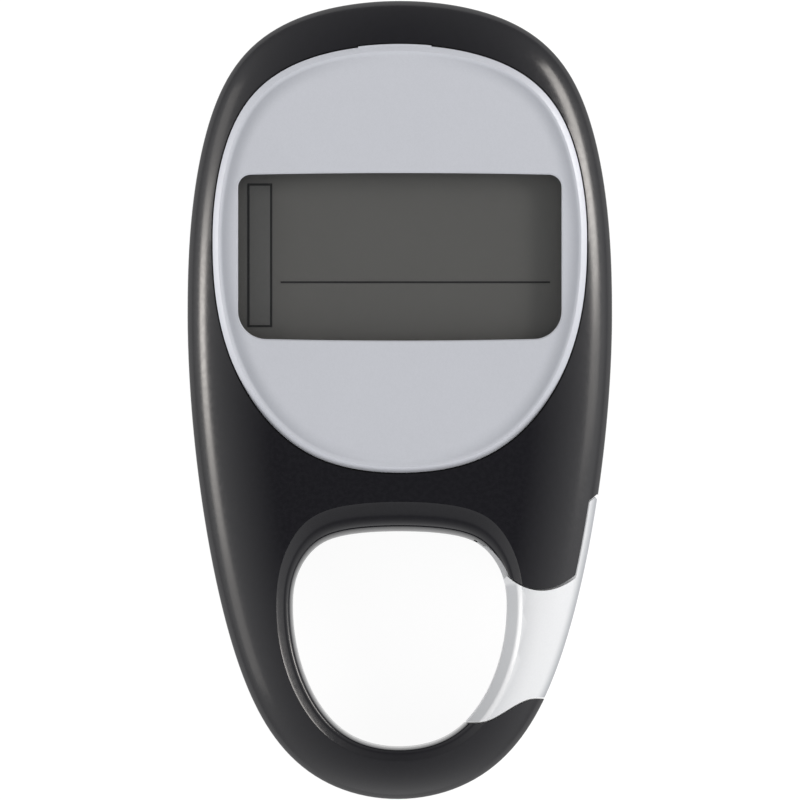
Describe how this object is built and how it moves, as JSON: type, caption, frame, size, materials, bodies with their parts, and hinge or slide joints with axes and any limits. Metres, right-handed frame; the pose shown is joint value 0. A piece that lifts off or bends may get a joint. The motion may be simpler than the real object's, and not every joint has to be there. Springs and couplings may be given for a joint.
{
  "type": "pedometer",
  "caption": "Flat pebble-shaped step counter with a silver faceplate and display window, ending in a carabiner loop with a sprung gate.",
  "frame": {"origin": "under the middle of the case, on the flat of its back", "axes": "+Z out of the display, +Y from the loop towards the display end, +X towards the gate"},
  "size_m": [0.0378, 0.071, 0.012],
  "materials": {
    "gloss_black": "polished black moulded plastic",
    "satin_silver": "satin silver paint on moulded plastic",
    "bright_silver": "smooth silver plating on moulded plastic",
    "clear_lens": "clear polished plastic",
    "lcd_grey": "dark grey, blank display glass",
    "frame_black": "matt black moulded plastic",
    "rubber_grey": "plain silicone rubber",
    "board_green": "green coated glass-fibre laminate",
    "resin_black": "black moulded resin",
    "ceramic_tan": "fired ceramic",
    "bright_steel": "bright plated steel",
    "cell_can": "bright nickel-plated can"
  },
  "bodies": {
    "case": {"front_shell": "gloss_black", "rear_shell": "gloss_black", "faceplate": "satin_silver", "display_lens": "clear_lens", "lcd_panel": "lcd_grey", "lcd_holder": "frame_black", "zebra_strip": "rubber_grey", "circuit_board": "board_green", "controller_blob": "resin_black", "step_sensor": "resin_black", "crystal_can": "bright_steel", "capacitor_1": "ceramic_tan", "capacitor_2": "ceramic_tan", "resistor_1": "resin_black", "resistor_2": "resin_black", "mode_dome": "bright_steel", "set_dome": "bright_steel", "reset_dome": "bright_steel", "battery_cell": "cell_can", "battery_contact_positive": "bright_steel", "battery_contact_negative": "bright_steel", "battery_cover": "gloss_black", "battery_cover_screw": "bright_steel", "case_screw_1": "bright_steel", "case_screw_2": "bright_steel", "case_screw_3": "bright_steel", "case_screw_4": "bright_steel", "case_screw_5": "bright_steel", "gate_pin": "bright_steel", "gate_spring": "bright_steel"},
    "gate": {"gate": "bright_silver"},
    "mode_button": {"mode_button": "gloss_black"},
    "set_button": {"set_button": "gloss_black"},
    "reset_button": {"reset_button": "gloss_black"}
  },
  "joints": [
    {"name": "gate_swing", "type": "hinge", "parent": "case", "child": "gate", "pos_m": [0.01277, -0.01227, 0.006], "axis": [0, 0, -1], "range_deg": [0, 25], "stiffness_Nm_per_rad": 0.02, "springref_deg": -34.38, "deforming": ["gate_spring"]},
    {"name": "mode_press", "type": "slide", "parent": "case", "child": "mode_button", "axis": [0, 0, 1], "range_m": [0, 0.0003], "stiffness_N_per_m": 2000, "springref_m": -0.0003},
    {"name": "set_press", "type": "slide", "parent": "case", "child": "set_button", "axis": [0, 0, 1], "range_m": [0, 0.0003], "stiffness_N_per_m": 2000, "springref_m": -0.0003},
    {"name": "reset_press", "type": "slide", "parent": "case", "child": "reset_button", "axis": [0, 0, 1], "range_m": [0, 0.0003], "stiffness_N_per_m": 2000, "springref_m": -0.0003}
  ]
}
